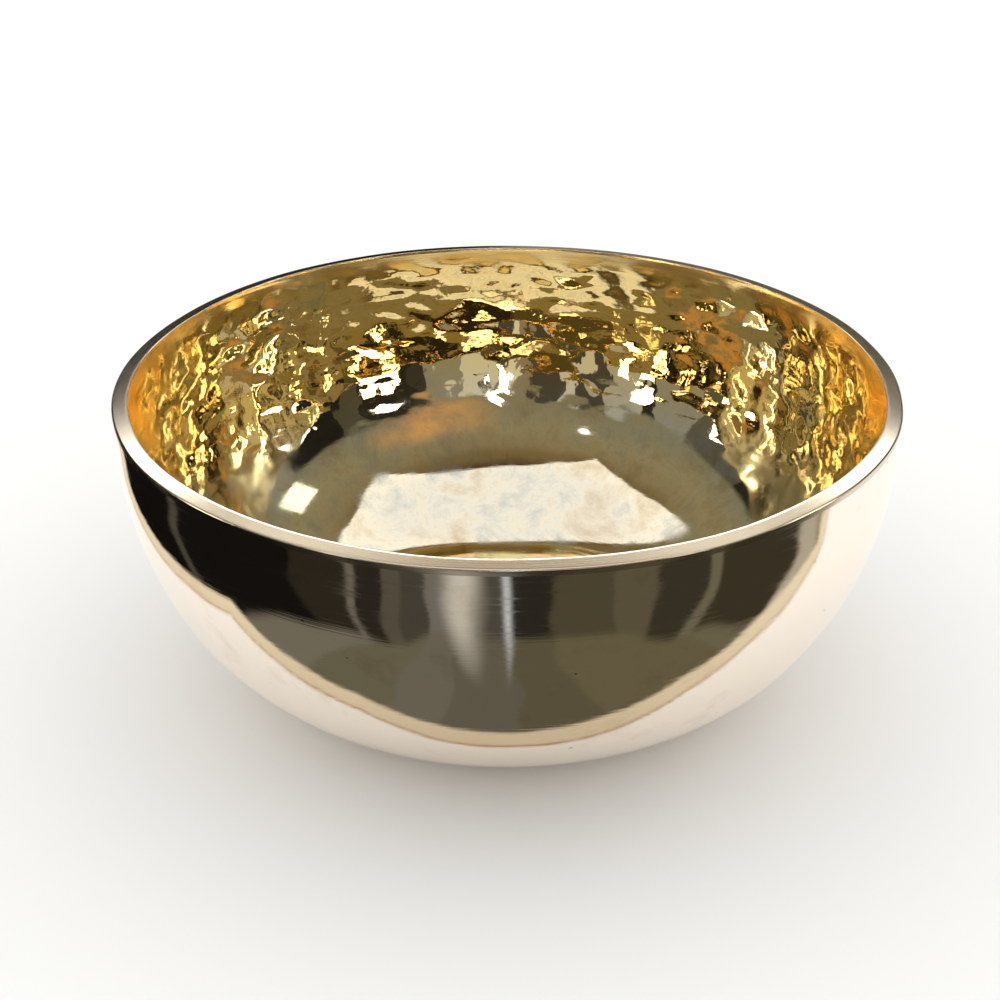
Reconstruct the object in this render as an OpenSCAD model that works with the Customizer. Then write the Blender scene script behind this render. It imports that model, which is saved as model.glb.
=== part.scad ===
// Hand-hammered bell-metal bowl
//
// One disc of bell metal is beaten into a round bowl, then turned at the rim and polished.
// It is a single piece of metal, so the model has a single node.
// Units are millimetres. The origin is the centre of the face that the bowl rests on,
// and +Z points up through the open mouth.

/* [Bowl] */
// Outer diameter of the mouth
mouth_d = 200; // [190:1:210]
// Height from the resting face to the highest edge of the rim
bowl_h = 82; // [78:1:88]
// Thickness of the wall
wall_t = 4; // [3:0.1:6]
// Thickness of the floor
floor_t = 4; // [3:0.1:8]

/* [Rim] */
// Height of the upright band below the rim
lip_h = 7; // [5:0.5:10]
// How far the rim's ground face falls from its inner edge to its outer edge
rim_fall = 0.6; // [0.2:0.1:1.2]
// Width of the eased outer edge of the rim
rim_ease = 0.4; // [0.2:0.1:0.8]

/* [Curve] */
// Radius of the rounded side
side_r = 91; // [88:1:95]
// Radius of the rounded heel, between the side and the resting face
heel_r = 58.5; // [54:0.5:62]

/* [Hidden] */
$fn = 180;

mouth_r = mouth_d / 2;
band_z = bowl_h - lip_h;              // where the upright band meets the rounded side
side_x = mouth_r - side_r;            // centre of the side's arc, level with band_z
heel_rise = band_z - heel_r;          // height of the side's centre above the heel's
rim_outer_z = bowl_h - rim_fall;      // height of the rim's ground face at the outer edge
over = 1;                             // how far cutting shapes run past what they cut

// Half of the upright section that one surface of the metal encloses, up to height top:
// the surface lies inset inside the outer side and base above the resting face. The
// side's arc passes smoothly into the heel's arc, and the heel's into the level bottom.
module enclosed(inset, base, top) {
    side_arc = side_r - inset;
    heel_arc = heel_r - base;
    arc_gap = side_arc - heel_arc;
    heel_x = side_x + sqrt(pow(arc_gap, 2) - pow(heel_rise, 2));
    join_z = band_z - side_arc * heel_rise / arc_gap;
    translate([0, band_z]) square([mouth_r - inset, top - band_z]);
    intersection() {
        translate([side_x, band_z]) circle(r = side_arc);
        translate([0, join_z]) square([mouth_r, band_z - join_z]);
    }
    intersection() {
        translate([heel_x, heel_r]) circle(r = heel_arc);
        square([mouth_r, join_z]);
    }
    translate([0, base]) square([heel_x, join_z - base]);
}

// The sloping, eased top of the rim, as the shape that is left below it
module below_rim() {
    polygon([
        [0, -over],
        [mouth_r + over, -over],
        [mouth_r + over, rim_outer_z - rim_ease - over],
        [mouth_r - rim_ease, rim_outer_z],
        [mouth_r - wall_t, bowl_h],
        [0, bowl_h],
    ]);
}

// The whole bowl, turned about the upright axis
module bowl() {
    color("#c9b27c")
        rotate_extrude()
            difference() {
                intersection() {
                    enclosed(0, 0, bowl_h);
                    below_rim();
                }
                enclosed(wall_t, floor_t, bowl_h + over);
            }
}

bowl();
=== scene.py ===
import math

import bpy
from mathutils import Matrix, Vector


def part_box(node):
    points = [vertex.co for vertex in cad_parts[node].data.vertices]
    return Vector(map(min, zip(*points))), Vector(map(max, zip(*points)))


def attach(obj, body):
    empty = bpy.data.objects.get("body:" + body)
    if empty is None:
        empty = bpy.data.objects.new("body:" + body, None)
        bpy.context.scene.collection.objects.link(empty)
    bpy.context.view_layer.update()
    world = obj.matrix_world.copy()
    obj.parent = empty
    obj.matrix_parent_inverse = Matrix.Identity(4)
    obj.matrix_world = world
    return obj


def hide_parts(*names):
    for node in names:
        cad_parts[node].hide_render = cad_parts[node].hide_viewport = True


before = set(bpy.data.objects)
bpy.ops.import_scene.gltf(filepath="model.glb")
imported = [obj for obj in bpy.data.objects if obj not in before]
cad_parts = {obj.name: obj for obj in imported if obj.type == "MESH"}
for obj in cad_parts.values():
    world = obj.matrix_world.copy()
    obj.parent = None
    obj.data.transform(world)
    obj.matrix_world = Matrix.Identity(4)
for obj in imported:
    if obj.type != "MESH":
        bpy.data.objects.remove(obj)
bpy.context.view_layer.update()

bl_info = {
    "name": "Beaten bell-metal bowl",
    "version": (1, 0, 0),
    "blender": (4, 5, 0),
    "location": "View3D > Sidebar > Bowl",
    "description": "Makes a hand-hammered bell-metal bowl and the studio that it stands in",
    "category": "Object",
}

BOWL_LOW, BOWL_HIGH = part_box("bowl")
MM = 0.001


# ---------------------------------------------------------------- what a user may change


class BowlSizes(bpy.types.PropertyGroup):
    """Sizes of the bowl and of the smith's marks on it."""

    mouth_radius: bpy.props.FloatProperty(
        name="Mouth radius",
        description="Outer radius of the mouth",
        default=(BOWL_HIGH[0] - BOWL_LOW[0]) / 2,
        subtype="DISTANCE",
        unit="LENGTH",
    )
    height: bpy.props.FloatProperty(
        name="Height",
        description="Height from the resting face to the top of the rim",
        default=BOWL_HIGH[2] - BOWL_LOW[2],
        subtype="DISTANCE",
        unit="LENGTH",
    )
    wall: bpy.props.FloatProperty(
        name="Wall",
        description="Thickness of the wall",
        default=4 * MM,
        subtype="DISTANCE",
        unit="LENGTH",
    )
    floor: bpy.props.FloatProperty(
        name="Floor",
        description="Thickness of the floor",
        default=4 * MM,
        subtype="DISTANCE",
        unit="LENGTH",
    )
    lip_height: bpy.props.FloatProperty(
        name="Lip height",
        description="Height of the upright band below the rim",
        default=7 * MM,
        subtype="DISTANCE",
        unit="LENGTH",
    )
    rim_fall: bpy.props.FloatProperty(
        name="Rim fall",
        description="How far the rim's ground face falls from its inner to its outer edge",
        default=0.6 * MM,
        subtype="DISTANCE",
        unit="LENGTH",
    )
    rim_ease: bpy.props.FloatProperty(
        name="Rim ease",
        description="Width of the eased outer edge of the rim",
        default=0.4 * MM,
        subtype="DISTANCE",
        unit="LENGTH",
    )
    side_radius: bpy.props.FloatProperty(
        name="Side radius",
        description="Radius of the rounded side",
        default=91 * MM,
        subtype="DISTANCE",
        unit="LENGTH",
    )
    heel_radius: bpy.props.FloatProperty(
        name="Heel radius",
        description="Radius of the rounded heel",
        default=58.5 * MM,
        subtype="DISTANCE",
        unit="LENGTH",
    )
    columns: bpy.props.IntProperty(
        name="Columns",
        description="Facets round the bowl",
        default=480,
        min=48,
    )
    blow_width: bpy.props.FloatProperty(
        name="Blow width",
        description="Distance between neighbouring hammer blows round the mouth",
        default=21 * MM,
        subtype="DISTANCE",
        unit="LENGTH",
    )
    blow_depth: bpy.props.FloatProperty(
        name="Blow depth",
        description="Depth of a lone blow's hollow, before its neighbours cut into it",
        default=0.7 * MM,
        subtype="DISTANCE",
        unit="LENGTH",
    )
    ripple_depth: bpy.props.FloatProperty(
        name="Ripple depth",
        description="Depth of the small uneven ripples that lie over the hollows",
        default=0.6 * MM,
        subtype="DISTANCE",
        unit="LENGTH",
    )
    sway_depth: bpy.props.FloatProperty(
        name="Sway depth",
        description="Depth of the slow waves left on every surface",
        default=0.4 * MM,
        subtype="DISTANCE",
        unit="LENGTH",
    )
    out_of_round: bpy.props.FloatProperty(
        name="Out of round",
        description="How far the mouth strays inwards from a true circle",
        default=0.9 * MM,
        subtype="DISTANCE",
        unit="LENGTH",
    )
    seed: bpy.props.IntProperty(
        name="Seed",
        description="Chooses where the hammer fell",
        default=7,
    )


class MetalFinish(bpy.types.PropertyGroup):
    """Colours and polish of the bell metal."""

    golden: bpy.props.StringProperty(
        name="Golden",
        description="Bell metal inside the bowl, as an sRGB hex colour",
        default="#f5e0aa",
    )
    pale: bpy.props.StringProperty(
        name="Pale",
        description="Freshly polished bell metal outside, as an sRGB hex colour",
        default="#f7efe3",
    )
    floor: bpy.props.StringProperty(
        name="Floor",
        description="Bell metal on the floor of the bowl, as an sRGB hex colour",
        default="#f0ecdc",
    )
    amber: bpy.props.StringProperty(
        name="Amber",
        description="Tarnish in the turned band below the rim, as an sRGB hex colour",
        default="#ecd59e",
    )
    rim: bpy.props.StringProperty(
        name="Rim",
        description="Bell metal of the ground rim, as an sRGB hex colour",
        default="#d6ccbb",
    )
    brown: bpy.props.StringProperty(
        name="Brown",
        description="Warm tarnish, as an sRGB hex colour",
        default="#b99b6c",
    )
    grey: bpy.props.StringProperty(
        name="Grey",
        description="Cool, cloudy tarnish, as an sRGB hex colour",
        default="#c3c8c6",
    )
    pit: bpy.props.StringProperty(
        name="Pit",
        description="Dirt in the small pits outside, as an sRGB hex colour",
        default="#4a3826",
    )
    polish: bpy.props.FloatProperty(
        name="Polish",
        description="Roughness of the polished metal",
        default=0.03,
        min=0.0,
        max=1.0,
        subtype="FACTOR",
    )
    grind: bpy.props.FloatProperty(
        name="Grind",
        description="Roughness of the ground rim",
        default=0.17,
        min=0.0,
        max=1.0,
        subtype="FACTOR",
    )


class Studio(bpy.types.PropertyGroup):
    """Camera and light."""

    distance: bpy.props.FloatProperty(
        name="Camera distance",
        description="Distance from the camera to the centre of the mouth",
        default=0.5,
        subtype="DISTANCE",
        unit="LENGTH",
    )
    elevation: bpy.props.FloatProperty(
        name="Camera elevation",
        description="Height of the camera above the mouth, as an angle",
        default=math.radians(23.7),
        subtype="ANGLE",
        unit="ROTATION",
    )
    lens: bpy.props.FloatProperty(
        name="Lens",
        description="Focal length on a 36 mm sensor, in millimetres",
        default=70.4,
    )
    aim_height: bpy.props.FloatProperty(
        name="Aim height",
        description="Height of the point that the camera looks at",
        default=46.6 * MM,
        subtype="DISTANCE",
        unit="LENGTH",
    )
    floor_light: bpy.props.FloatProperty(
        name="Floor light",
        description="Brightness of the even light that falls on the floor",
        default=1.25,
    )


# ---------------------------------------------------------------- small tools


def linear(hex_colour):
    """An sRGB hex colour as linear red, green, blue and alpha."""
    channels = [int(hex_colour[k : k + 2], 16) / 255 for k in (1, 3, 5)]
    return [c / 12.92 if c <= 0.04045 else ((c + 0.055) / 1.055) ** 2.4 for c in channels] + [1.0]


def add(tree, kind, inputs=None, **settings):
    """Adds a node, sets its settings, and gives each named input its value or its link."""
    node = tree.nodes.new(kind)
    for name, value in settings.items():
        setattr(node, name, value)
    for key, value in (inputs or {}).items():
        if isinstance(value, bpy.types.NodeSocket):
            tree.links.new(value, node.inputs[key])
        else:
            node.inputs[key].default_value = value
    return node


def arc(centre, radius, start, end, step):
    """Points along an arc from one angle to another, about a step apart, without the first."""
    count = max(2, math.ceil(abs(end - start) * radius / step))
    angles = [start + (end - start) * k / count for k in range(1, count + 1)]
    return [(centre[0] + radius * math.cos(a), centre[1] + radius * math.sin(a)) for a in angles]


def line(start, end, step):
    """Points along a line, about a step apart, without the first."""
    count = max(1, math.ceil(math.dist(start, end) / step))
    shares = [k / count for k in range(1, count + 1)]
    return [
        (start[0] + (end[0] - start[0]) * s, start[1] + (end[1] - start[1]) * s) for s in shares
    ]


def smooth_step(value, low, high):
    """0 below low, 1 above high, and an even rise between."""
    share = min(max((value - low) / (high - low), 0.0), 1.0)
    return share * share * (3 - 2 * share)


# ---------------------------------------------------------------- the bowl's section


def wall_curve(sizes, inset, base, side_step, heel_step):
    """One surface of the metal in section, from the level bottom up to the lip."""
    band = sizes.height - sizes.lip_height
    side_arc = sizes.side_radius - inset
    heel_arc = sizes.heel_radius - base
    gap = side_arc - heel_arc
    rise = band - sizes.heel_radius
    side_centre = (sizes.mouth_radius - sizes.side_radius, band)
    heel_centre = (side_centre[0] + math.sqrt(gap**2 - rise**2), sizes.heel_radius)
    turn = -math.asin(rise / gap)
    bottom = (heel_centre[0], base)
    heel = arc(heel_centre, heel_arc, -math.pi / 2, turn, heel_step)
    side = arc(side_centre, side_arc, turn, 0.0, side_step)
    return bottom, heel + side


def section_rows(sizes):
    """The whole section, from the middle of the floor over the rim to the middle of the base.

    Each row is its radius, its height, and its zone: 0 inside, 1 on the rim and 2 outside.
    """
    outer = sizes.mouth_radius
    inner = outer - sizes.wall
    top = sizes.height
    rim_out = top - sizes.rim_fall
    ease = sizes.rim_ease
    round_in = 0.15 * MM
    floor_edge, inside = wall_curve(sizes, sizes.wall, sizes.floor, 0.95 * MM, 1.6 * MM)
    base_edge, outside = wall_curve(sizes, 0.0, 0.0, 1.55 * MM, 2.1 * MM)
    rows = [(0.0, sizes.floor, 0)]
    rows += [(r, z, 0) for r, z in line((0.0, sizes.floor), floor_edge, 3 * MM)]
    rows += [(r, z, 0) for r, z in inside]
    rows += [(r, z, 0) for r, z in line(inside[-1], (inner, top - round_in), 1.0 * MM)]
    corner = (inner + round_in, top - round_in)
    rows += [(r, z, 1) for r, z in arc(corner, round_in, math.pi, math.pi / 2, 0.08 * MM)]
    rim_start = rows[-1][:2]
    rows += [(r, z, 1) for r, z in line(rim_start, (outer - ease, rim_out), 0.8 * MM)]
    corner = (outer - ease, rim_out - ease)
    rows += [(r, z, 1) for r, z in arc(corner, ease, math.pi / 2, 0.0, 0.2 * MM)]
    rows += [(r, z, 2) for r, z in line((outer, rim_out - ease), outside[-1], 1.4 * MM)]
    rows += [(r, z, 2) for r, z in reversed(outside[:-1])]
    rows += [(r, z, 2) for r, z in line(base_edge, (0.0, 0.0), 4 * MM)]
    return rows


def make_section(sizes):
    """A string of points, one for each row, with what each row needs as attributes."""
    rows = section_rows(sizes)
    mesh = bpy.data.meshes.new("section")
    edges = [(k, k + 1) for k in range(len(rows) - 1)]
    mesh.from_pydata([(r, 0.0, z) for r, z, _ in rows], edges, [])
    along = [0.0]
    for before, after in zip(rows, rows[1:]):
        along.append(along[-1] + math.dist(before[:2], after[:2]))
    # The hammering comes in just below the rim and goes out above the floor, which keeps a
    # trace of it. The waves go out at the rim, at the resting face and near the bowl's axis.
    floor_trace = 0.06
    hammered, swaying = [], []
    for radius, height, zone in rows:
        below_rim = sizes.height - height
        start = smooth_step(below_rim, 1.5 * MM, 4.5 * MM)
        finish = 1 - smooth_step(below_rim, 38 * MM, 53 * MM)
        strength = start * (floor_trace + (1 - floor_trace) * finish)
        hammered.append(strength if zone == 0 else 0.0)
        off_axis = smooth_step(radius, 10 * MM, 40 * MM)
        off_table = smooth_step(height, 0.0, 8 * MM) if zone == 2 else 1.0
        swaying.append(off_axis * off_table * smooth_step(below_rim, 0.5 * MM, 9 * MM))
    columns = {
        "along": along,
        "zone": [float(zone) for _, _, zone in rows],
        "hammered": hammered,
        "swaying": swaying,
    }
    for name, values in columns.items():
        mesh.attributes.new(name, "FLOAT", "POINT").data.foreach_set("value", values)
    section = bpy.data.objects.new("section", mesh)
    bpy.context.scene.collection.objects.link(section)
    inside_length = max(a for a, (_, _, zone) in zip(along, rows) if zone == 0)
    return section, len(rows), inside_length, along[-1]


# ---------------------------------------------------------------- the node tree that beats it


def beaten_bowl_tree():
    """A Geometry Nodes tree that turns a section about Z and beats hammer blows into it."""
    tree = bpy.data.node_groups.new("beaten_bowl", "GeometryNodeTree")
    sockets = tree.interface
    sockets.new_socket("Geometry", in_out="INPUT", socket_type="NodeSocketGeometry")
    for name, kind in (
        ("Section", "NodeSocketObject"),
        ("Rows", "NodeSocketInt"),
        ("Columns", "NodeSocketInt"),
        ("Inside length", "NodeSocketFloat"),
        ("Whole length", "NodeSocketFloat"),
        ("Height", "NodeSocketFloat"),
        ("Blows per turn", "NodeSocketFloat"),
        ("Turn pitch", "NodeSocketFloat"),
        ("Blow count", "NodeSocketInt"),
        ("Blow width", "NodeSocketFloat"),
        ("Blow depth", "NodeSocketFloat"),
        ("Ripple depth", "NodeSocketFloat"),
        ("Sway depth", "NodeSocketFloat"),
        ("Out of round", "NodeSocketFloat"),
        ("Seed", "NodeSocketInt"),
        ("Inside metal", "NodeSocketMaterial"),
        ("Rim metal", "NodeSocketMaterial"),
        ("Outside metal", "NodeSocketMaterial"),
    ):
        sockets.new_socket(name, in_out="INPUT", socket_type=kind)
    sockets.new_socket("Geometry", in_out="OUTPUT", socket_type="NodeSocketGeometry")
    given = tree.nodes.new("NodeGroupInput").outputs
    section = add(tree, "GeometryNodeObjectInfo", {"Object": given["Section"]}).outputs["Geometry"]

    # The grid: X counts columns round the bowl and Y counts rows along the section.
    across = add(tree, "ShaderNodeMath", {0: given["Columns"], 1: 1}, operation="ADD").outputs[0]
    last_row = add(tree, "ShaderNodeMath", {0: given["Rows"], 1: 1}, operation="SUBTRACT").outputs[0]
    grid = add(
        tree,
        "GeometryNodeMeshGrid",
        {
            "Size X": given["Columns"],
            "Size Y": last_row,
            "Vertices X": across,
            "Vertices Y": given["Rows"],
        },
    ).outputs
    place = add(tree, "GeometryNodeInputPosition").outputs[0]
    apart = add(tree, "ShaderNodeSeparateXYZ", {0: place}).outputs
    half_rows = add(tree, "ShaderNodeMath", {0: last_row, 1: 0.5}, operation="MULTIPLY").outputs[0]
    row = add(tree, "ShaderNodeMath", {0: apart[1], 1: half_rows}, operation="ADD").outputs[0]
    row = add(tree, "ShaderNodeMath", {0: row}, operation="ROUND").outputs[0]
    turn = add(tree, "ShaderNodeMath", {0: apart[0], 1: given["Columns"]}, operation="DIVIDE").outputs[0]
    angle = add(tree, "ShaderNodeMath", {0: turn, 1: math.tau}, operation="MULTIPLY").outputs[0]

    # Each row's numbers are copied on to its points before the grid is bent.
    shape = grid["Mesh"]
    for name in ("along", "zone", "hammered", "swaying"):
        stored = add(tree, "GeometryNodeInputNamedAttribute", {"Name": name}).outputs[0]
        sample = add(
            tree,
            "GeometryNodeSampleIndex",
            {"Geometry": section, "Value": stored, "Index": row},
        ).outputs[0]
        shape = add(
            tree,
            "GeometryNodeStoreNamedAttribute",
            {"Geometry": shape, "Name": name, "Value": sample},
        ).outputs[0]
    along = add(tree, "GeometryNodeInputNamedAttribute", {"Name": "along"}).outputs[0]
    share = add(
        tree, "ShaderNodeMath", {0: along, 1: given["Whole length"]}, operation="DIVIDE"
    ).outputs[0]
    turn_up = add(tree, "ShaderNodeMath", {0: turn, 1: 0.5}, operation="ADD").outputs[0]
    flat_place = add(tree, "ShaderNodeCombineXYZ", {0: turn_up, 1: share}).outputs[0]
    shape = add(
        tree,
        "GeometryNodeStoreNamedAttribute",
        {"Geometry": shape, "Name": "UVMap", "Value": flat_place},
        data_type="FLOAT2",
        domain="CORNER",
    ).outputs[0]

    # The grid is bent round the axis, and its seam and its two poles are closed.
    section_place = add(
        tree,
        "GeometryNodeSampleIndex",
        {"Geometry": section, "Value": place, "Index": row},
        data_type="FLOAT_VECTOR",
    ).outputs[0]
    bent = add(
        tree,
        "ShaderNodeVectorRotate",
        {"Vector": section_place, "Angle": angle},
        rotation_type="Z_AXIS",
    ).outputs[0]
    shape = add(tree, "GeometryNodeSetPosition", {"Geometry": shape, "Position": bent}).outputs[0]
    shape = add(
        tree, "GeometryNodeMergeByDistance", {"Geometry": shape, "Distance": 0.002 * MM}
    ).outputs[0]
    # The bent grid faces into the metal, so it is turned to face out of it
    shape = add(tree, "GeometryNodeFlipFaces", {"Mesh": shape}).outputs[0]

    # The blows: a spiral that runs down the inside wall, each blow off its place by up to a
    # third of a step along the spiral and a third of the pitch down the wall.
    count = add(tree, "GeometryNodeInputIndex").outputs[0]
    stray = add(
        tree,
        "FunctionNodeRandomValue",
        {"Min": (-0.34, -0.34, 0.0), "Max": (0.34, 0.34, 0.0), "Seed": given["Seed"]},
        data_type="FLOAT_VECTOR",
    ).outputs[0]
    stray = add(tree, "ShaderNodeSeparateXYZ", {0: stray}).outputs
    step = add(tree, "ShaderNodeMath", {0: count, 1: stray[0]}, operation="ADD").outputs[0]
    turns = add(
        tree, "ShaderNodeMath", {0: step, 1: given["Blows per turn"]}, operation="DIVIDE"
    ).outputs[0]
    blow_angle = add(tree, "ShaderNodeMath", {0: turns, 1: math.tau}, operation="MULTIPLY").outputs[0]
    down = add(
        tree, "ShaderNodeMath", {0: count, 1: given["Blows per turn"]}, operation="DIVIDE"
    ).outputs[0]
    down = add(tree, "ShaderNodeMath", {0: down, 1: stray[1]}, operation="ADD").outputs[0]
    down = add(tree, "ShaderNodeMath", {0: down, 1: given["Turn pitch"]}, operation="MULTIPLY").outputs[0]
    reach = add(
        tree, "ShaderNodeMath", {0: given["Inside length"], 1: down}, operation="SUBTRACT"
    ).outputs[0]
    wall_line = add(tree, "GeometryNodeMeshToCurve", {"Mesh": section}).outputs[0]
    on_wall = add(
        tree,
        "GeometryNodeSampleCurve",
        {"Curves": wall_line, "Length": reach},
        mode="LENGTH",
        use_all_curves=True,
    ).outputs["Position"]
    blow_place = add(
        tree,
        "ShaderNodeVectorRotate",
        {"Vector": on_wall, "Angle": blow_angle},
        rotation_type="Z_AXIS",
    ).outputs[0]
    blows = add(
        tree, "GeometryNodePoints", {"Count": given["Blow count"], "Position": blow_place}
    ).outputs[0]

    # A hollow is a shallow dish round the nearest blow, so neighbours meet in a ridge. The
    # metal that a blow drives out stands up between the hollows, which leaves the wall about
    # as thick.
    far = add(
        tree,
        "GeometryNodeProximity",
        {"Geometry": blows},
        target_element="POINTS",
    ).outputs["Distance"]
    far = add(tree, "ShaderNodeMath", {0: far, 1: given["Blow width"]}, operation="DIVIDE").outputs[0]
    dish = add(tree, "ShaderNodeMath", {0: far, 1: 2.0}, operation="POWER").outputs[0]
    dish = add(
        tree,
        "ShaderNodeMapRange",
        {"Value": dish, "From Min": 0.0, "From Max": 0.5, "To Min": 0.35, "To Max": -0.65},
    ).outputs[0]
    dish = add(
        tree, "GeometryNodeBlurAttribute", {0: dish, "Iterations": 3, "Weight": 0.8}
    ).outputs[0]
    hollow = add(
        tree, "ShaderNodeMath", {0: dish, 1: given["Blow depth"]}, operation="MULTIPLY"
    ).outputs[0]

    # Small, uneven ripples about 10 mm wide and 5 mm tall lie over the hollows.
    drawn = add(
        tree, "ShaderNodeVectorMath", {0: place, 1: (1.0, 1.0, 2.2)}, operation="MULTIPLY"
    ).outputs[0]
    ripple = add(
        tree,
        "ShaderNodeTexNoise",
        {"Vector": drawn, "Scale": 1 / (10 * MM), "Detail": 1.1, "Roughness": 0.45, "Distortion": 0.4},
    ).outputs[0]
    ripple = add(tree, "ShaderNodeMath", {0: ripple, 1: 0.5}, operation="SUBTRACT").outputs[0]
    ripple = add(
        tree, "ShaderNodeMath", {0: ripple, 1: given["Ripple depth"]}, operation="MULTIPLY"
    ).outputs[0]
    hollow = add(tree, "ShaderNodeMath", {0: hollow, 1: ripple}, operation="ADD").outputs[0]
    hammered = add(tree, "GeometryNodeInputNamedAttribute", {"Name": "hammered"}).outputs[0]
    hollow = add(tree, "ShaderNodeMath", {0: hollow, 1: hammered}, operation="MULTIPLY").outputs[0]

    # Slow waves about 26 mm across are left on every surface, and the polished ones have no
    # others. They only cut inwards, so that the metal stays inside its true outline.
    sway = add(
        tree,
        "ShaderNodeTexNoise",
        {"Vector": place, "Scale": 1 / (26 * MM), "Detail": 1.5, "Roughness": 0.4},
    ).outputs[0]
    sway = add(
        tree, "ShaderNodeMath", {0: sway, 1: given["Sway depth"]}, operation="MULTIPLY"
    ).outputs[0]
    swaying = add(tree, "GeometryNodeInputNamedAttribute", {"Name": "swaying"}).outputs[0]
    sway = add(tree, "ShaderNodeMath", {0: sway, 1: swaying}, operation="MULTIPLY").outputs[0]
    deep = add(tree, "ShaderNodeMath", {0: hollow, 1: sway}, operation="ADD").outputs[0]
    deep = add(tree, "ShaderNodeMath", {0: deep, 1: -1.0}, operation="MULTIPLY").outputs[0]
    normal = add(tree, "GeometryNodeInputNormal").outputs[0]
    push = add(
        tree, "ShaderNodeVectorMath", {0: normal, "Scale": deep}, operation="SCALE"
    ).outputs[0]

    # The mouth strays a little inwards from a true circle, and more so the nearer the rim.
    level = add(tree, "ShaderNodeVectorMath", {0: place, 1: (1, 1, 0)}, operation="MULTIPLY").outputs[0]
    outward = add(tree, "ShaderNodeVectorMath", {0: level}, operation="NORMALIZE").outputs[0]
    lean = add(
        tree,
        "ShaderNodeTexNoise",
        {"Vector": outward, "Scale": 1.7, "Detail": 1.0, "Roughness": 0.5},
    ).outputs[0]
    lean = add(
        tree,
        "ShaderNodeMapRange",
        {"Value": lean, "From Min": 0.25, "From Max": 0.75, "To Min": 0.0, "To Max": -1.0},
    ).outputs[0]
    high = add(tree, "ShaderNodeSeparateXYZ", {0: place}).outputs[2]
    high = add(tree, "ShaderNodeMath", {0: high, 1: given["Height"]}, operation="DIVIDE").outputs[0]
    lean = add(tree, "ShaderNodeMath", {0: lean, 1: high}, operation="MULTIPLY").outputs[0]
    lean = add(
        tree, "ShaderNodeMath", {0: lean, 1: given["Out of round"]}, operation="MULTIPLY"
    ).outputs[0]
    pull = add(
        tree, "ShaderNodeVectorMath", {0: outward, "Scale": lean}, operation="SCALE"
    ).outputs[0]
    shift = add(tree, "ShaderNodeVectorMath", {0: push, 1: pull}, operation="ADD").outputs[0]
    shape = add(tree, "GeometryNodeSetPosition", {"Geometry": shape, "Offset": shift}).outputs[0]

    # Each zone gets its own finish. A face between two zones has their mean, 0.5 or 1.5, and
    # both kinds belong to the rim.
    shape = add(tree, "GeometryNodeSetShadeSmooth", {"Geometry": shape, "Shade Smooth": True}).outputs[0]
    shape = add(tree, "GeometryNodeRealizeInstances", {"Geometry": shape}).outputs[0]
    zone = add(tree, "GeometryNodeInputNamedAttribute", {"Name": "zone"}).outputs[0]
    on_rim = add(
        tree, "FunctionNodeCompare", {0: zone, 1: 0.4}, data_type="FLOAT", operation="GREATER_THAN"
    ).outputs[0]
    on_outside = add(
        tree, "FunctionNodeCompare", {0: zone, 1: 1.6}, data_type="FLOAT", operation="GREATER_THAN"
    ).outputs[0]
    for chosen, metal in ((True, "Inside metal"), (on_rim, "Rim metal"), (on_outside, "Outside metal")):
        shape = add(
            tree,
            "GeometryNodeSetMaterial",
            {"Geometry": shape, "Selection": chosen, "Material": given[metal]},
        ).outputs[0]
    add(tree, "NodeGroupOutput", {0: shape})
    return tree


# ---------------------------------------------------------------- the metal


def metal_start(name, colour, roughness, grain):
    """A new material's tree and its metal shader, brushed round the bowl's axis."""
    made = bpy.data.materials.new(name)
    made.use_nodes = True
    tree = made.node_tree
    tree.nodes.clear()
    round_axis = add(tree, "ShaderNodeTangent", direction_type="RADIAL", axis="Z").outputs[0]
    shader = add(
        tree,
        "ShaderNodeBsdfPrincipled",
        {
            "Base Color": colour,
            "Metallic": 1.0,
            "Roughness": roughness,
            "Anisotropic": grain,
            "Tangent": round_axis,
        },
    )
    add(tree, "ShaderNodeOutputMaterial", {"Surface": shader.outputs[0]})
    return made, tree, shader


def turned_lines(tree, width, length):
    """Height of fine lines that run round the bowl, from their width and length in metres."""
    along = add(tree, "ShaderNodeAttribute", attribute_name="along").outputs["Fac"]
    across = add(tree, "ShaderNodeMath", {0: along, 1: length / width}, operation="MULTIPLY").outputs[0]
    where = add(tree, "ShaderNodeTexCoord").outputs["Object"]
    flat = add(tree, "ShaderNodeVectorMath", {0: where, 1: (1, 1, 0)}, operation="MULTIPLY").outputs[0]
    rise = add(tree, "ShaderNodeCombineXYZ", {2: across}).outputs[0]
    where = add(tree, "ShaderNodeVectorMath", {0: flat, 1: rise}, operation="ADD").outputs[0]
    return add(
        tree,
        "ShaderNodeTexNoise",
        {"Vector": where, "Scale": 1 / length, "Detail": 3.0, "Roughness": 0.6},
    ).outputs[0]


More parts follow.
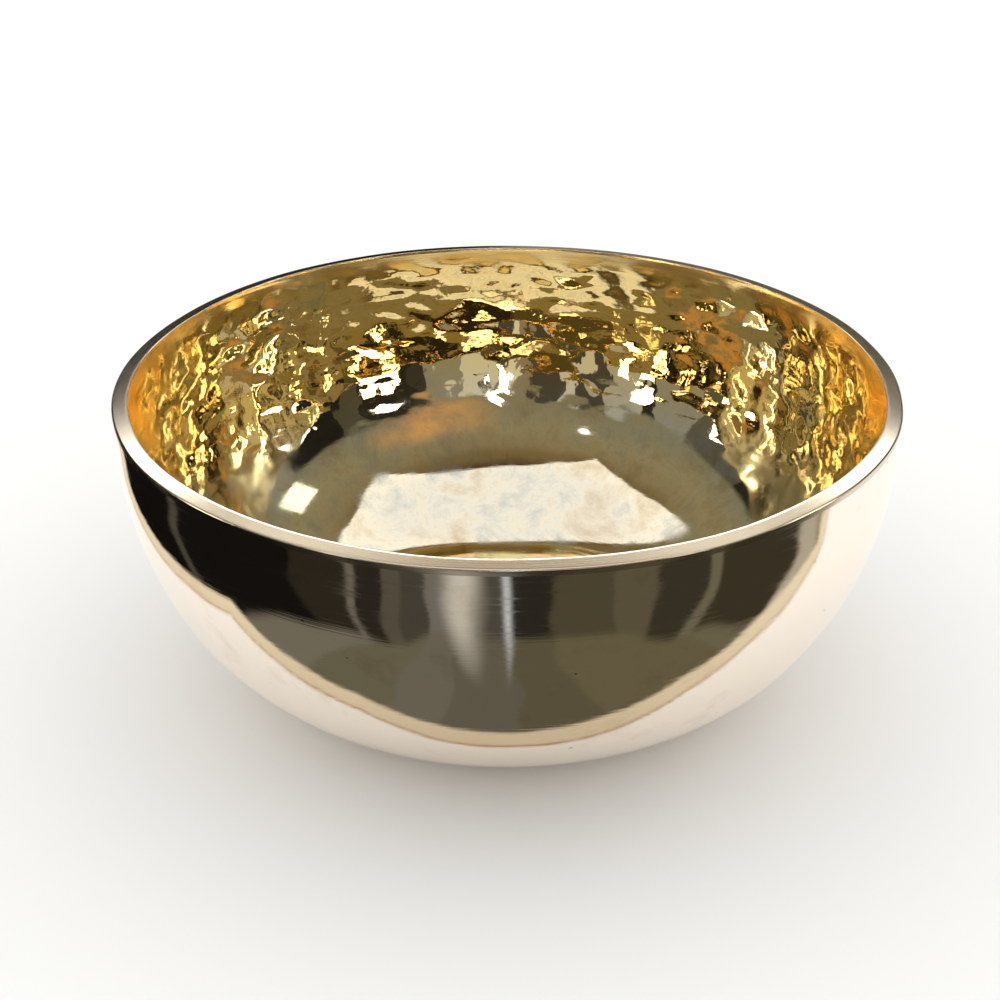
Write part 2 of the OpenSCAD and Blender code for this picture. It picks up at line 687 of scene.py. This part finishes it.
def hammered_metal(finish, height):
    """Hammered bell metal: liquid, amber reflections, and cloudy tarnish on the smooth floor."""
    golden_down_to, cloudy_below = height - 36 * MM, height - 50 * MM
    lip_begins, lip_is_full = height - 6 * MM, height - 3 * MM
    made, tree, shader = metal_start(
        "hammered_bell_bronze", linear(finish.golden), finish.polish, 0.35
    )
    where = add(tree, "ShaderNodeTexCoord").outputs["Object"]
    hammered = add(tree, "ShaderNodeAttribute", attribute_name="hammered").outputs["Fac"]
    level = add(tree, "ShaderNodeSeparateXYZ", {0: where}).outputs[2]
    smooth = add(
        tree,
        "ShaderNodeMapRange",
        {"Value": level, "From Min": golden_down_to, "From Max": cloudy_below},
    ).outputs[0]
    lip = add(
        tree,
        "ShaderNodeMapRange",
        {"Value": level, "From Min": lip_begins, "From Max": lip_is_full},
    ).outputs[0]
    # Clouds about 18 mm across, broken up by detail down to 0.3 mm
    cloud = add(
        tree,
        "ShaderNodeTexNoise",
        {"Vector": where, "Scale": 1 / (18 * MM), "Detail": 6.0, "Roughness": 0.7, "Distortion": 0.3},
    ).outputs[0]
    brown = add(
        tree,
        "ShaderNodeMapRange",
        {"Value": cloud, "From Min": 0.5, "From Max": 0.7, "To Min": 0.0, "To Max": 0.55},
    ).outputs[0]
    grey = add(
        tree,
        "ShaderNodeMapRange",
        {"Value": cloud, "From Min": 0.52, "From Max": 0.36, "To Min": 0.0, "To Max": 0.8},
    ).outputs[0]
    floor_tint = add(
        tree,
        "ShaderNodeMix",
        {"Factor": brown, 6: linear(finish.floor), 7: linear(finish.brown)},
        data_type="RGBA",
    ).outputs[2]
    floor_tint = add(
        tree,
        "ShaderNodeMix",
        {"Factor": grey, 6: floor_tint, 7: linear(finish.grey)},
        data_type="RGBA",
    ).outputs[2]
    colour = add(
        tree,
        "ShaderNodeMix",
        {"Factor": smooth, 6: linear(finish.golden), 7: floor_tint},
        data_type="RGBA",
    ).outputs[2]
    # The turned band below the rim keeps a light amber tarnish
    colour = add(
        tree,
        "ShaderNodeMix",
        {"Factor": lip, 6: colour, 7: linear(finish.amber)},
        data_type="RGBA",
    ).outputs[2]
    tree.links.new(colour, shader.inputs["Base Color"])
    # The cloudy places are hazy, and the clean ones as sharp as a mirror
    haze = add(
        tree,
        "ShaderNodeMapRange",
        {"Value": cloud, "From Min": 0.52, "From Max": 0.4, "To Min": 0.01, "To Max": 0.09},
    ).outputs[0]
    haze = add(tree, "ShaderNodeMath", {0: haze, 1: smooth}, operation="MULTIPLY").outputs[0]
    haze = add(tree, "ShaderNodeMath", {0: haze, 1: finish.polish}, operation="ADD").outputs[0]
    # The turned band is only brushed, which blurs what it mirrors across its lines
    haze = add(
        tree, "ShaderNodeMath", {0: lip, 1: 0.13, 2: haze}, operation="MULTIPLY_ADD"
    ).outputs[0]
    tree.links.new(haze, shader.inputs["Roughness"])
    # Planishing marks 1 to 4 mm across, too fine for the mesh to hold well
    marks = add(
        tree,
        "ShaderNodeTexNoise",
        {"Vector": where, "Scale": 1 / (4 * MM), "Detail": 2.0, "Roughness": 0.5},
    ).outputs[0]
    marks = add(tree, "ShaderNodeMath", {0: marks, 1: hammered}, operation="MULTIPLY").outputs[0]
    rough = add(
        tree, "ShaderNodeBump", {"Height": marks, "Strength": 0.12, "Distance": 0.5 * MM}
    ).outputs[0]
    lines = turned_lines(tree, 0.5 * MM, 60 * MM)
    clear = add(
        tree, "ShaderNodeMapRange", {"Value": lip, "To Min": 0.08, "To Max": 0.5}
    ).outputs[0]
    bump = add(
        tree,
        "ShaderNodeBump",
        {"Height": lines, "Strength": clear, "Distance": 0.05 * MM, "Normal": rough},
    ).outputs[0]
    tree.links.new(bump, shader.inputs["Normal"])
    return made


def ground_metal(finish):
    """Ground bell-metal edge: fine lines round the rim that draw the light out into a sheen."""
    made, tree, shader = metal_start(
        "ground_bell_bronze", linear(finish.rim), finish.grind, 0.5
    )
    lines = turned_lines(tree, 0.22 * MM, 40 * MM)
    bump = add(
        tree, "ShaderNodeBump", {"Height": lines, "Strength": 0.15, "Distance": 0.03 * MM}
    ).outputs[0]
    tree.links.new(bump, shader.inputs["Normal"])
    return made


def polished_metal(finish):
    """Lathe-polished bell metal: a clear mirror with faint lines, smudges and a few pits."""
    made, tree, shader = metal_start(
        "polished_bell_bronze", linear(finish.pale), finish.polish, 0.5
    )
    where = add(tree, "ShaderNodeTexCoord").outputs["Object"]
    lines = turned_lines(tree, 0.4 * MM, 60 * MM)
    bump = add(
        tree, "ShaderNodeBump", {"Height": lines, "Strength": 0.2, "Distance": 0.05 * MM}
    ).outputs[0]
    tree.links.new(bump, shader.inputs["Normal"])
    # Hazy strokes of the polishing cloth, about 1 mm wide and 25 mm long
    strokes = turned_lines(tree, 1.1 * MM, 25 * MM)
    haze = add(
        tree,
        "ShaderNodeMapRange",
        {
            "Value": strokes,
            "From Min": 0.5,
            "From Max": 0.75,
            "To Min": finish.polish,
            "To Max": finish.polish + 0.11,
        },
    ).outputs[0]
    tree.links.new(haze, shader.inputs["Roughness"])
    # Pits about half a millimetre wide, one in about every fourteenth cell of 5 mm
    pits = add(
        tree,
        "ShaderNodeTexVoronoi",
        {"Vector": where, "Scale": 1 / (5 * MM), "Randomness": 1.0},
    ).outputs
    rare = add(tree, "ShaderNodeSeparateColor", {0: pits["Color"]}).outputs[0]
    rare = add(tree, "ShaderNodeMath", {0: rare, 1: 0.93}, operation="GREATER_THAN").outputs[0]
    near = add(
        tree,
        "ShaderNodeMapRange",
        {"Value": pits["Distance"], "From Min": 0.04, "From Max": 0.08, "To Min": 0.85, "To Max": 0.0},
    ).outputs[0]
    pit = add(tree, "ShaderNodeMath", {0: near, 1: rare}, operation="MULTIPLY").outputs[0]
    # Light brown smudges about 16 mm across, where hands have touched the metal
    smudge = add(
        tree,
        "ShaderNodeTexNoise",
        {"Vector": where, "Scale": 1 / (16 * MM), "Detail": 5.0, "Roughness": 0.65},
    ).outputs[0]
    smudge = add(
        tree,
        "ShaderNodeMapRange",
        {"Value": smudge, "From Min": 0.57, "From Max": 0.8, "To Min": 0.0, "To Max": 0.4},
    ).outputs[0]
    colour = add(
        tree,
        "ShaderNodeMix",
        {"Factor": smudge, 6: linear(finish.pale), 7: linear(finish.brown)},
        data_type="RGBA",
    ).outputs[2]
    colour = add(
        tree,
        "ShaderNodeMix",
        {"Factor": pit, 6: colour, 7: linear(finish.pit)},
        data_type="RGBA",
    ).outputs[2]
    tree.links.new(colour, shader.inputs["Base Color"])
    return made


# ---------------------------------------------------------------- the stage


def aim(thing, target):
    """Turns a camera or light towards a point."""
    thing.rotation_euler = (Vector(target) - thing.location).to_track_quat("-Z", "Y").to_euler()


def direction(azimuth, elevation):
    """A unit vector: azimuth 0 is towards the camera and 90 towards +X, in degrees."""
    turn, rise = math.radians(azimuth), math.radians(elevation)
    return Vector((math.sin(turn) * math.cos(rise), -math.cos(turn) * math.cos(rise), math.sin(rise)))


def make_panel(name, place, target, size, brightness, colour, roll=0.0):
    """A soft light panel that only the metal sees, of an even brightness over its face."""
    width, height = size
    data = bpy.data.lights.new(name, "AREA")
    data.shape = "RECTANGLE"
    data.size = width
    data.size_y = height
    data.color = linear(colour)[:3]
    data.energy = brightness * math.pi * width * height
    lamp = bpy.data.objects.new(name, data)
    bpy.context.scene.collection.objects.link(lamp)
    lamp.location = place
    aim(lamp, target)
    lamp.rotation_euler.rotate_axis("Z", math.radians(roll))
    lamp.visible_camera = False
    lamp.visible_diffuse = False
    return lamp


def matte(name, colour):
    """A plain dull material for the stage, which shows its colour and no gloss."""
    made = bpy.data.materials.new(name)
    made.use_nodes = True
    shader = made.node_tree.nodes["Principled BSDF"]
    shader.inputs["Base Color"].default_value = linear(colour)
    shader.inputs["Roughness"].default_value = 1.0
    shader.inputs["Specular IOR Level"].default_value = 0.0
    return made


def make_floor(reach):
    """The plain pale floor that the camera sees, with its reach from the middle in metres."""
    mesh = bpy.data.meshes.new("floor")
    corners = [(-reach, -reach, 0), (reach, -reach, 0), (reach, reach, 0), (-reach, reach, 0)]
    mesh.from_pydata(corners, [], [(0, 1, 2, 3)])
    mesh.materials.append(matte("pale_paper", "#ececea"))
    floor = bpy.data.objects.new("floor", mesh)
    bpy.context.scene.collection.objects.link(floor)
    floor.visible_glossy = False


def make_board(mouth):
    """The white board under the bowl, as the metal mirrors it: near, and only so wide."""
    top = matte("white_board", "#f8f5f1")
    groove = matte("bare_board", "#bd9c70")
    edging = matte("cream_board", "#e0d3b8")
    # Its outline in mouth radii, seen from above, with the camera on the -Y side
    outline = [
        (-0.5, -0.86),
        (0.65, -0.86),
        (1.0, -0.77),
        (1.38, -0.62),
        (1.8, -0.44),
        (3.2, -0.1),
        (3.4, 3.0),
        (-2.2, 3.0),
        (-1.56, 0.3),
        (-1.4, -0.27),
        (-1.24, -0.62),
    ]
    # White top, a thin bare groove, and a cream edging strip, each a ring further out
    count = len(outline)
    rings = (0.95, 0.965, 1.06)
    above_floor = 0.2 * MM
    points = [(x * mouth * k, y * mouth * k, above_floor) for k in rings for x, y in outline]
    faces = [tuple(range(count))]
    for ring in range(1, len(rings)):
        near, far = (ring - 1) * count, ring * count
        faces += [
            (near + k, far + k, far + (k + 1) % count, near + (k + 1) % count) for k in range(count)
        ]
    mesh = bpy.data.meshes.new("board")
    mesh.from_pydata(points, [], faces)
    for made in (top, groove, edging):
        mesh.materials.append(made)
    for face in mesh.polygons:
        face.material_index = (face.index + count - 1) // count
    board = bpy.data.objects.new("board", mesh)
    bpy.context.scene.collection.objects.link(board)
    board.visible_camera = False
    board.visible_diffuse = False
    board.visible_shadow = False


# What the metal mirrors round the room. Each strip holds until the next one starts: for
# the walls and the furniture that is a direction in degrees, and for the floor how far
# it lies to the right, as a share of how far it lies below the bowl.
WALL_STRIPS = (
    (-180, "#2a2722"),
    (-100, "#5d5a50"),
    (-70, "#8f8c82"),
    (-55, "#2b2925"),
    (-45, "#a9a79f"),
    (-34, "#4a4843"),
    (-27, "#c4c2ba"),
    (-19, "#4a453d"),
    (-10, "#8b8070"),
    (-4, "#d6d4cc"),
    (1, "#4b4640"),
    (8, "#cbc9c0"),
    (19, "#8d8b80"),
    (27, "#3a3832"),
    (35, "#2a2720"),
    (52, "#4f4b3b"),
    (62, "#222019"),
    (90, "#8f8775"),
    (110, "#55503f"),
)
FURNITURE_STRIPS = (
    (-180, "#15120f"),
    (-150, "#33302a"),
    (-145, "#120f0d"),
    (-112, "#4a463e"),
    (-107, "#141210"),
    (-64, "#2c2820"),
    (-50, "#6a665c"),
    (-47, "#2a261f"),
    (-37, "#545045"),
    (-31, "#45423a"),
    (-24, "#6f6c66"),
    (-10, "#4c4942"),
    (2, "#2b2822"),
    (13, "#4c4736"),
    (31, "#5a5442"),
    (46, "#38342a"),
    (58, "#6c6653"),
    (62, "#3a3528"),
    (92, "#b3ab99"),
    (101, "#8f8775"),
    (104, "#d9d3c8"),
)
FLOOR_STRIPS = (
    (-3.0, "#8a867b"),
    (-1.2, "#716d60"),
    (-0.7, "#66624f"),
    (-0.4, "#69665b"),
    (-0.2, "#605c4f"),
    (0.05, "#5a5542"),
    (0.25, "#645e47"),
    (0.8, "#6a6551"),
    (1.2, "#8c8676"),
    (1.8, "#cfc9bd"),
)


def strip_colours(tree, place, strips, reach):
    """Colours that change along a place, which runs from minus reach to reach."""
    share = add(
        tree, "ShaderNodeMapRange", {"Value": place, "From Min": -reach, "From Max": reach}
    ).outputs[0]
    picked = add(tree, "ShaderNodeValToRGB", {0: share})
    ramp = picked.color_ramp
    ramp.interpolation = "CONSTANT"
    ramp.elements.remove(ramp.elements[1])
    ramp.elements[0].color = linear(strips[0][1])
    for start, colour in strips[1:]:
        ramp.elements.new((start / reach + 1) / 2).color = linear(colour)
    return picked.outputs[0]


def soft_spot(tree, way, place, reach):
    """1 in the middle of an oval patch of the room and 0 outside it, both in degrees."""
    apart = []
    for axis in (0, 1):
        away = add(
            tree, "ShaderNodeMath", {0: way[axis], 1: place[axis]}, operation="SUBTRACT"
        ).outputs[0]
        away = add(tree, "ShaderNodeMath", {0: away, 1: reach[axis]}, operation="DIVIDE").outputs[0]
        apart.append(away)
    spread = add(tree, "ShaderNodeCombineXYZ", {0: apart[0], 1: apart[1]}).outputs[0]
    spread = add(tree, "ShaderNodeVectorMath", {0: spread}, operation="LENGTH").outputs["Value"]
    return add(
        tree,
        "ShaderNodeMapRange",
        {"Value": spread, "From Min": 1.0, "From Max": 0.1},
        interpolation_type="SMOOTHSTEP",
    ).outputs[0]


def make_world(studio):
    """Even white light for the floor, and for the metal a dim room with a warm ceiling."""
    world = bpy.data.worlds.new("studio")
    bpy.context.scene.world = world
    world.use_nodes = True
    tree = world.node_tree
    tree.nodes.clear()
    way = add(tree, "ShaderNodeTexCoord").outputs["Generated"]
    way = add(tree, "ShaderNodeVectorMath", {0: way}, operation="NORMALIZE").outputs[0]
    wobble = add(
        tree, "ShaderNodeTexNoise", {"Vector": way, "Scale": 3.0, "Detail": 0.0}
    ).outputs[0]
    wobble = add(
        tree, "ShaderNodeMapRange", {"Value": wobble, "To Min": -7.0, "To Max": 7.0}
    ).outputs[0]
    apart = add(tree, "ShaderNodeSeparateXYZ", {0: way}).outputs
    toward = add(tree, "ShaderNodeMath", {0: apart[1], 1: -1.0}, operation="MULTIPLY").outputs[0]
    turn = add(tree, "ShaderNodeMath", {0: apart[0], 1: toward}, operation="ARCTAN2").outputs[0]
    turn = add(tree, "ShaderNodeMath", {0: turn}, operation="DEGREES").outputs[0]
    strayed = add(tree, "ShaderNodeMath", {0: turn, 1: wobble}, operation="ADD").outputs[0]
    rise = add(tree, "ShaderNodeMath", {0: apart[2]}, operation="ARCSINE").outputs[0]
    rise = add(tree, "ShaderNodeMath", {0: rise}, operation="DEGREES").outputs[0]
    strayed_rise = add(tree, "ShaderNodeMath", {0: rise, 1: wobble}, operation="ADD").outputs[0]
    # The furniture reaches 45 degrees down, and the ceiling begins 27 degrees up
    on_wall = add(
        tree, "ShaderNodeMapRange", {"Value": strayed_rise, "From Min": -46.0, "From Max": -44.0}
    ).outputs[0]
    below = add(tree, "ShaderNodeMath", {0: apart[2], 1: -0.01}, operation="MINIMUM").outputs[0]
    below = add(tree, "ShaderNodeMath", {0: apart[0], 1: below}, operation="DIVIDE").outputs[0]
    below = add(
        tree, "ShaderNodeMath", {0: wobble, 1: 0.012, 2: below}, operation="MULTIPLY_ADD"
    ).outputs[0]
    below = add(tree, "ShaderNodeMath", {0: below, 1: -1.0}, operation="MULTIPLY").outputs[0]
    room = add(
        tree,
        "ShaderNodeMix",
        {
            "Factor": on_wall,
            6: strip_colours(tree, below, FLOOR_STRIPS, 3.0),
            7: strip_colours(tree, strayed, FURNITURE_STRIPS, 180.0),
        },
        data_type="RGBA",
    ).outputs[2]
    above = add(
        tree, "ShaderNodeMapRange", {"Value": strayed_rise, "From Min": -2.0, "From Max": 2.0}
    ).outputs[0]
    room = add(
        tree,
        "ShaderNodeMix",
        {"Factor": above, 6: room, 7: strip_colours(tree, strayed, WALL_STRIPS, 180.0)},
        data_type="RGBA",
    ).outputs[2]
    on_ceiling = add(
        tree, "ShaderNodeMapRange", {"Value": rise, "From Min": 26.0, "From Max": 28.0}
    ).outputs[0]
    # The ceiling is dull near the walls, lit warmly further in, and brown overhead
    high = add(
        tree, "ShaderNodeMapRange", {"Value": rise, "From Min": 27.0, "From Max": 67.0}
    ).outputs[0]
    ceiling = add(tree, "ShaderNodeValToRGB", {0: high})
    ceiling.color_ramp.interpolation = "EASE"
    ceiling.color_ramp.elements[0].color = linear("#857f68")
    ceiling.color_ramp.elements[1].color = linear("#4d3a22")
    ceiling.color_ramp.elements.new(0.38).color = linear("#918563")
    ceiling.color_ramp.elements.new(0.55).color = linear("#8d7e5c")
    ceiling.color_ramp.elements.new(0.76).color = linear("#7a6743")
    ceiling = ceiling.outputs[0]
    room = add(
        tree, "ShaderNodeMix", {"Factor": on_ceiling, 6: room, 7: ceiling}, data_type="RGBA"
    ).outputs[2]
    # A warm glow low on the ceiling, and two upright streaks of light low in front, each
    # with its place and reach as azimuth and elevation in degrees
    for place, reach, colour in (
        ((32.0, 35.0), (34.0, 11.0), "#cf9d62"),
        ((-11.0, -30.0), (8.0, 36.0), "#c6c2b9"),
        ((1.0, -34.0), (1.8, 34.0), "#c2c5ca"),
    ):
        room = add(
            tree,
            "ShaderNodeMix",
            {"Factor": soft_spot(tree, (turn, rise), place, reach), 6: room, 7: linear(colour)},
            data_type="RGBA",
        ).outputs[2]
    mirrored = add(tree, "ShaderNodeBackground", {"Color": room, "Strength": 1.0}).outputs[0]
    even = add(
        tree, "ShaderNodeBackground", {"Color": (1, 1, 1, 1), "Strength": studio.floor_light}
    ).outputs[0]
    ray = add(tree, "ShaderNodeLightPath").outputs["Is Glossy Ray"]
    both = add(tree, "ShaderNodeMixShader", {0: ray, 1: even, 2: mirrored}).outputs[0]
    add(tree, "ShaderNodeOutputWorld", {"Surface": both})


def make_camera(studio, sizes):
    """The camera, in front of the bowl and looking down into it."""
    data = bpy.data.cameras.new("camera")
    data.lens = studio.lens
    data.sensor_width = 36.0
    camera = bpy.data.objects.new("camera", data)
    bpy.context.scene.collection.objects.link(camera)
    back = direction(0, math.degrees(studio.elevation))
    camera.location = Vector((0, 0, sizes.height)) + back * studio.distance
    # Aimed a little to the left, so that the bowl stands just right of the middle
    aim(camera, (-2 * MM, 0, studio.aim_height))
    bpy.context.scene.camera = camera


# ---------------------------------------------------------------- operators


class BOWL_OT_make_bowl(bpy.types.Operator):
    """Beat the bowl out of bell metal and put it in place of its plain node"""

    bl_idname = "bowl.make_bowl"
    bl_label = "Make bowl"

    def execute(self, context):
        sizes = context.scene.bowl_sizes
        finish = context.scene.bowl_finish
        section, rows, inside_length, whole_length = make_section(sizes)
        tree = beaten_bowl_tree()
        holder = bpy.data.objects.new("bowl_rule", bpy.data.meshes.new("bowl_rule"))
        context.scene.collection.objects.link(holder)
        modifier = holder.modifiers.new("beaten_bowl", "NODES")
        modifier.node_group = tree
        inner_radius = sizes.mouth_radius - sizes.wall
        # At the default sizes a little over 29 blows in a turn, so that the turns drift round
        per_turn = math.tau * inner_radius / sizes.blow_width + 0.37
        turn_pitch = 0.72 * sizes.blow_width
        # How far down the wall the spiral runs, which is further than the hammering is strong
        deepest = 75 * MM
        values = {
            "Section": section,
            "Rows": rows,
            "Columns": sizes.columns,
            "Inside length": inside_length,
            "Whole length": whole_length,
            "Height": sizes.height,
            "Blows per turn": per_turn,
            "Turn pitch": turn_pitch,
            "Blow count": math.ceil(per_turn * deepest / turn_pitch),
            "Blow width": sizes.blow_width,
            "Blow depth": sizes.blow_depth,
            "Ripple depth": sizes.ripple_depth,
            "Sway depth": sizes.sway_depth,
            "Out of round": sizes.out_of_round,
            "Seed": sizes.seed,
            "Inside metal": hammered_metal(finish, sizes.height),
            "Rim metal": ground_metal(finish),
            "Outside metal": polished_metal(finish),
        }
        for item in tree.interface.items_tree:
            if item.in_out == "INPUT" and item.name in values:
                modifier[item.identifier] = values[item.name]
        context.view_layer.update()
        evaluated = holder.evaluated_get(context.evaluated_depsgraph_get())
        mesh = bpy.data.meshes.new_from_object(evaluated)
        if not mesh.polygons:
            raise RuntimeError("the bowl's node tree made no faces")
        mesh.name = "beaten_bowl"
        bowl = bpy.data.objects.new("beaten_bowl", mesh)
        context.scene.collection.objects.link(bowl)
        bpy.data.objects.remove(holder)
        bpy.data.objects.remove(section)
        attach(bowl, "root")
        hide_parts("bowl")
        return {"FINISHED"}


class BOWL_OT_set_stage(bpy.types.Operator):
    """Set the pale floor, the studio light and the camera"""

    bl_idname = "bowl.set_stage"
    bl_label = "Set stage"

    def execute(self, context):
        studio = context.scene.bowl_studio
        sizes = context.scene.bowl_sizes
        make_floor(reach=4.0)
        make_board(sizes.mouth_radius)
        make_world(studio)
        make_panel("overhead", (0.0, 0.135, 1.5), (0.0, 0.135, 0.0), (1.93, 1.44), 1.0, "#fffdf8", 12)
        # Azimuth and elevation in degrees, distance and size in metres, brightness and colour
        for name, azimuth, elevation, distance, size, brightness, colour in (
            ("back_window", 180, 36.5, 1.6, (1.4, 0.2), 5.5, "#fbf8f4"),
            ("rim_light", 180, 49, 1.6, (1.0, 0.2), 1.1, "#fbf8f4"),
            ("key", 2.5, 24, 2, (0.12, 0.5), 9.0, "#fffdfa"),
            ("ceiling_lamp", 104, 36, 2, (0.4, 0.34), 1.6, "#fffbe0"),
            ("left_spot", -32, 40, 2, (0.05, 0.05), 12.0, "#fffdf5"),
            ("right_spot", 75, 21, 2, (0.05, 0.05), 12.0, "#fffdf5"),
            ("left_strip", -47, 17, 1.6, (0.2, 0.3), 8.0, "#fff4e2"),
            ("right_strip", 47, 17, 1.6, (0.2, 0.3), 8.0, "#fff4e2"),
            ("left_side", -87, 15, 1.6, (0.34, 0.3), 12.0, "#fff4e2"),
            ("right_side", 87, 15, 1.6, (0.34, 0.3), 12.0, "#fff4e2"),
        ):
            place = direction(azimuth, elevation) * distance
            make_panel(name, place, (0, 0, 0), size, brightness, colour)
        make_camera(studio, sizes)
        context.scene.view_settings.view_transform = "Standard"
        # Light bounces many times between the walls inside
        context.scene.cycles.glossy_bounces = 12
        context.scene.cycles.max_bounces = 14
        return {"FINISHED"}


class BOWL_PT_panel(bpy.types.Panel):
    """Sidebar panel that lists the bowl's steps and sizes"""

    bl_label = "Beaten bowl"
    bl_idname = "BOWL_PT_panel"
    bl_space_type = "VIEW_3D"
    bl_region_type = "UI"
    bl_category = "Bowl"

    def draw(self, context):
        layout = self.layout
        for group in (context.scene.bowl_sizes, context.scene.bowl_finish, context.scene.bowl_studio):
            box = layout.box()
            for name in type(group).__annotations__:
                box.prop(group, name)
        layout.operator(BOWL_OT_make_bowl.bl_idname)
        layout.operator(BOWL_OT_set_stage.bl_idname)


CLASSES = (
    BowlSizes,
    MetalFinish,
    Studio,
    BOWL_OT_make_bowl,
    BOWL_OT_set_stage,
    BOWL_PT_panel,
)


def register():
    """Adds the classes and the scene's settings."""
    for made in CLASSES:
        bpy.utils.register_class(made)
    bpy.types.Scene.bowl_sizes = bpy.props.PointerProperty(type=BowlSizes)
    bpy.types.Scene.bowl_finish = bpy.props.PointerProperty(type=MetalFinish)
    bpy.types.Scene.bowl_studio = bpy.props.PointerProperty(type=Studio)


def unregister():
    """Takes the settings and the classes away again."""
    del bpy.types.Scene.bowl_studio
    del bpy.types.Scene.bowl_finish
    del bpy.types.Scene.bowl_sizes
    for made in reversed(CLASSES):
        bpy.utils.unregister_class(made)


def main():
    register()
    bpy.ops.bowl.make_bowl()
    bpy.ops.bowl.set_stage()


if __name__ == "__main__":
    main()
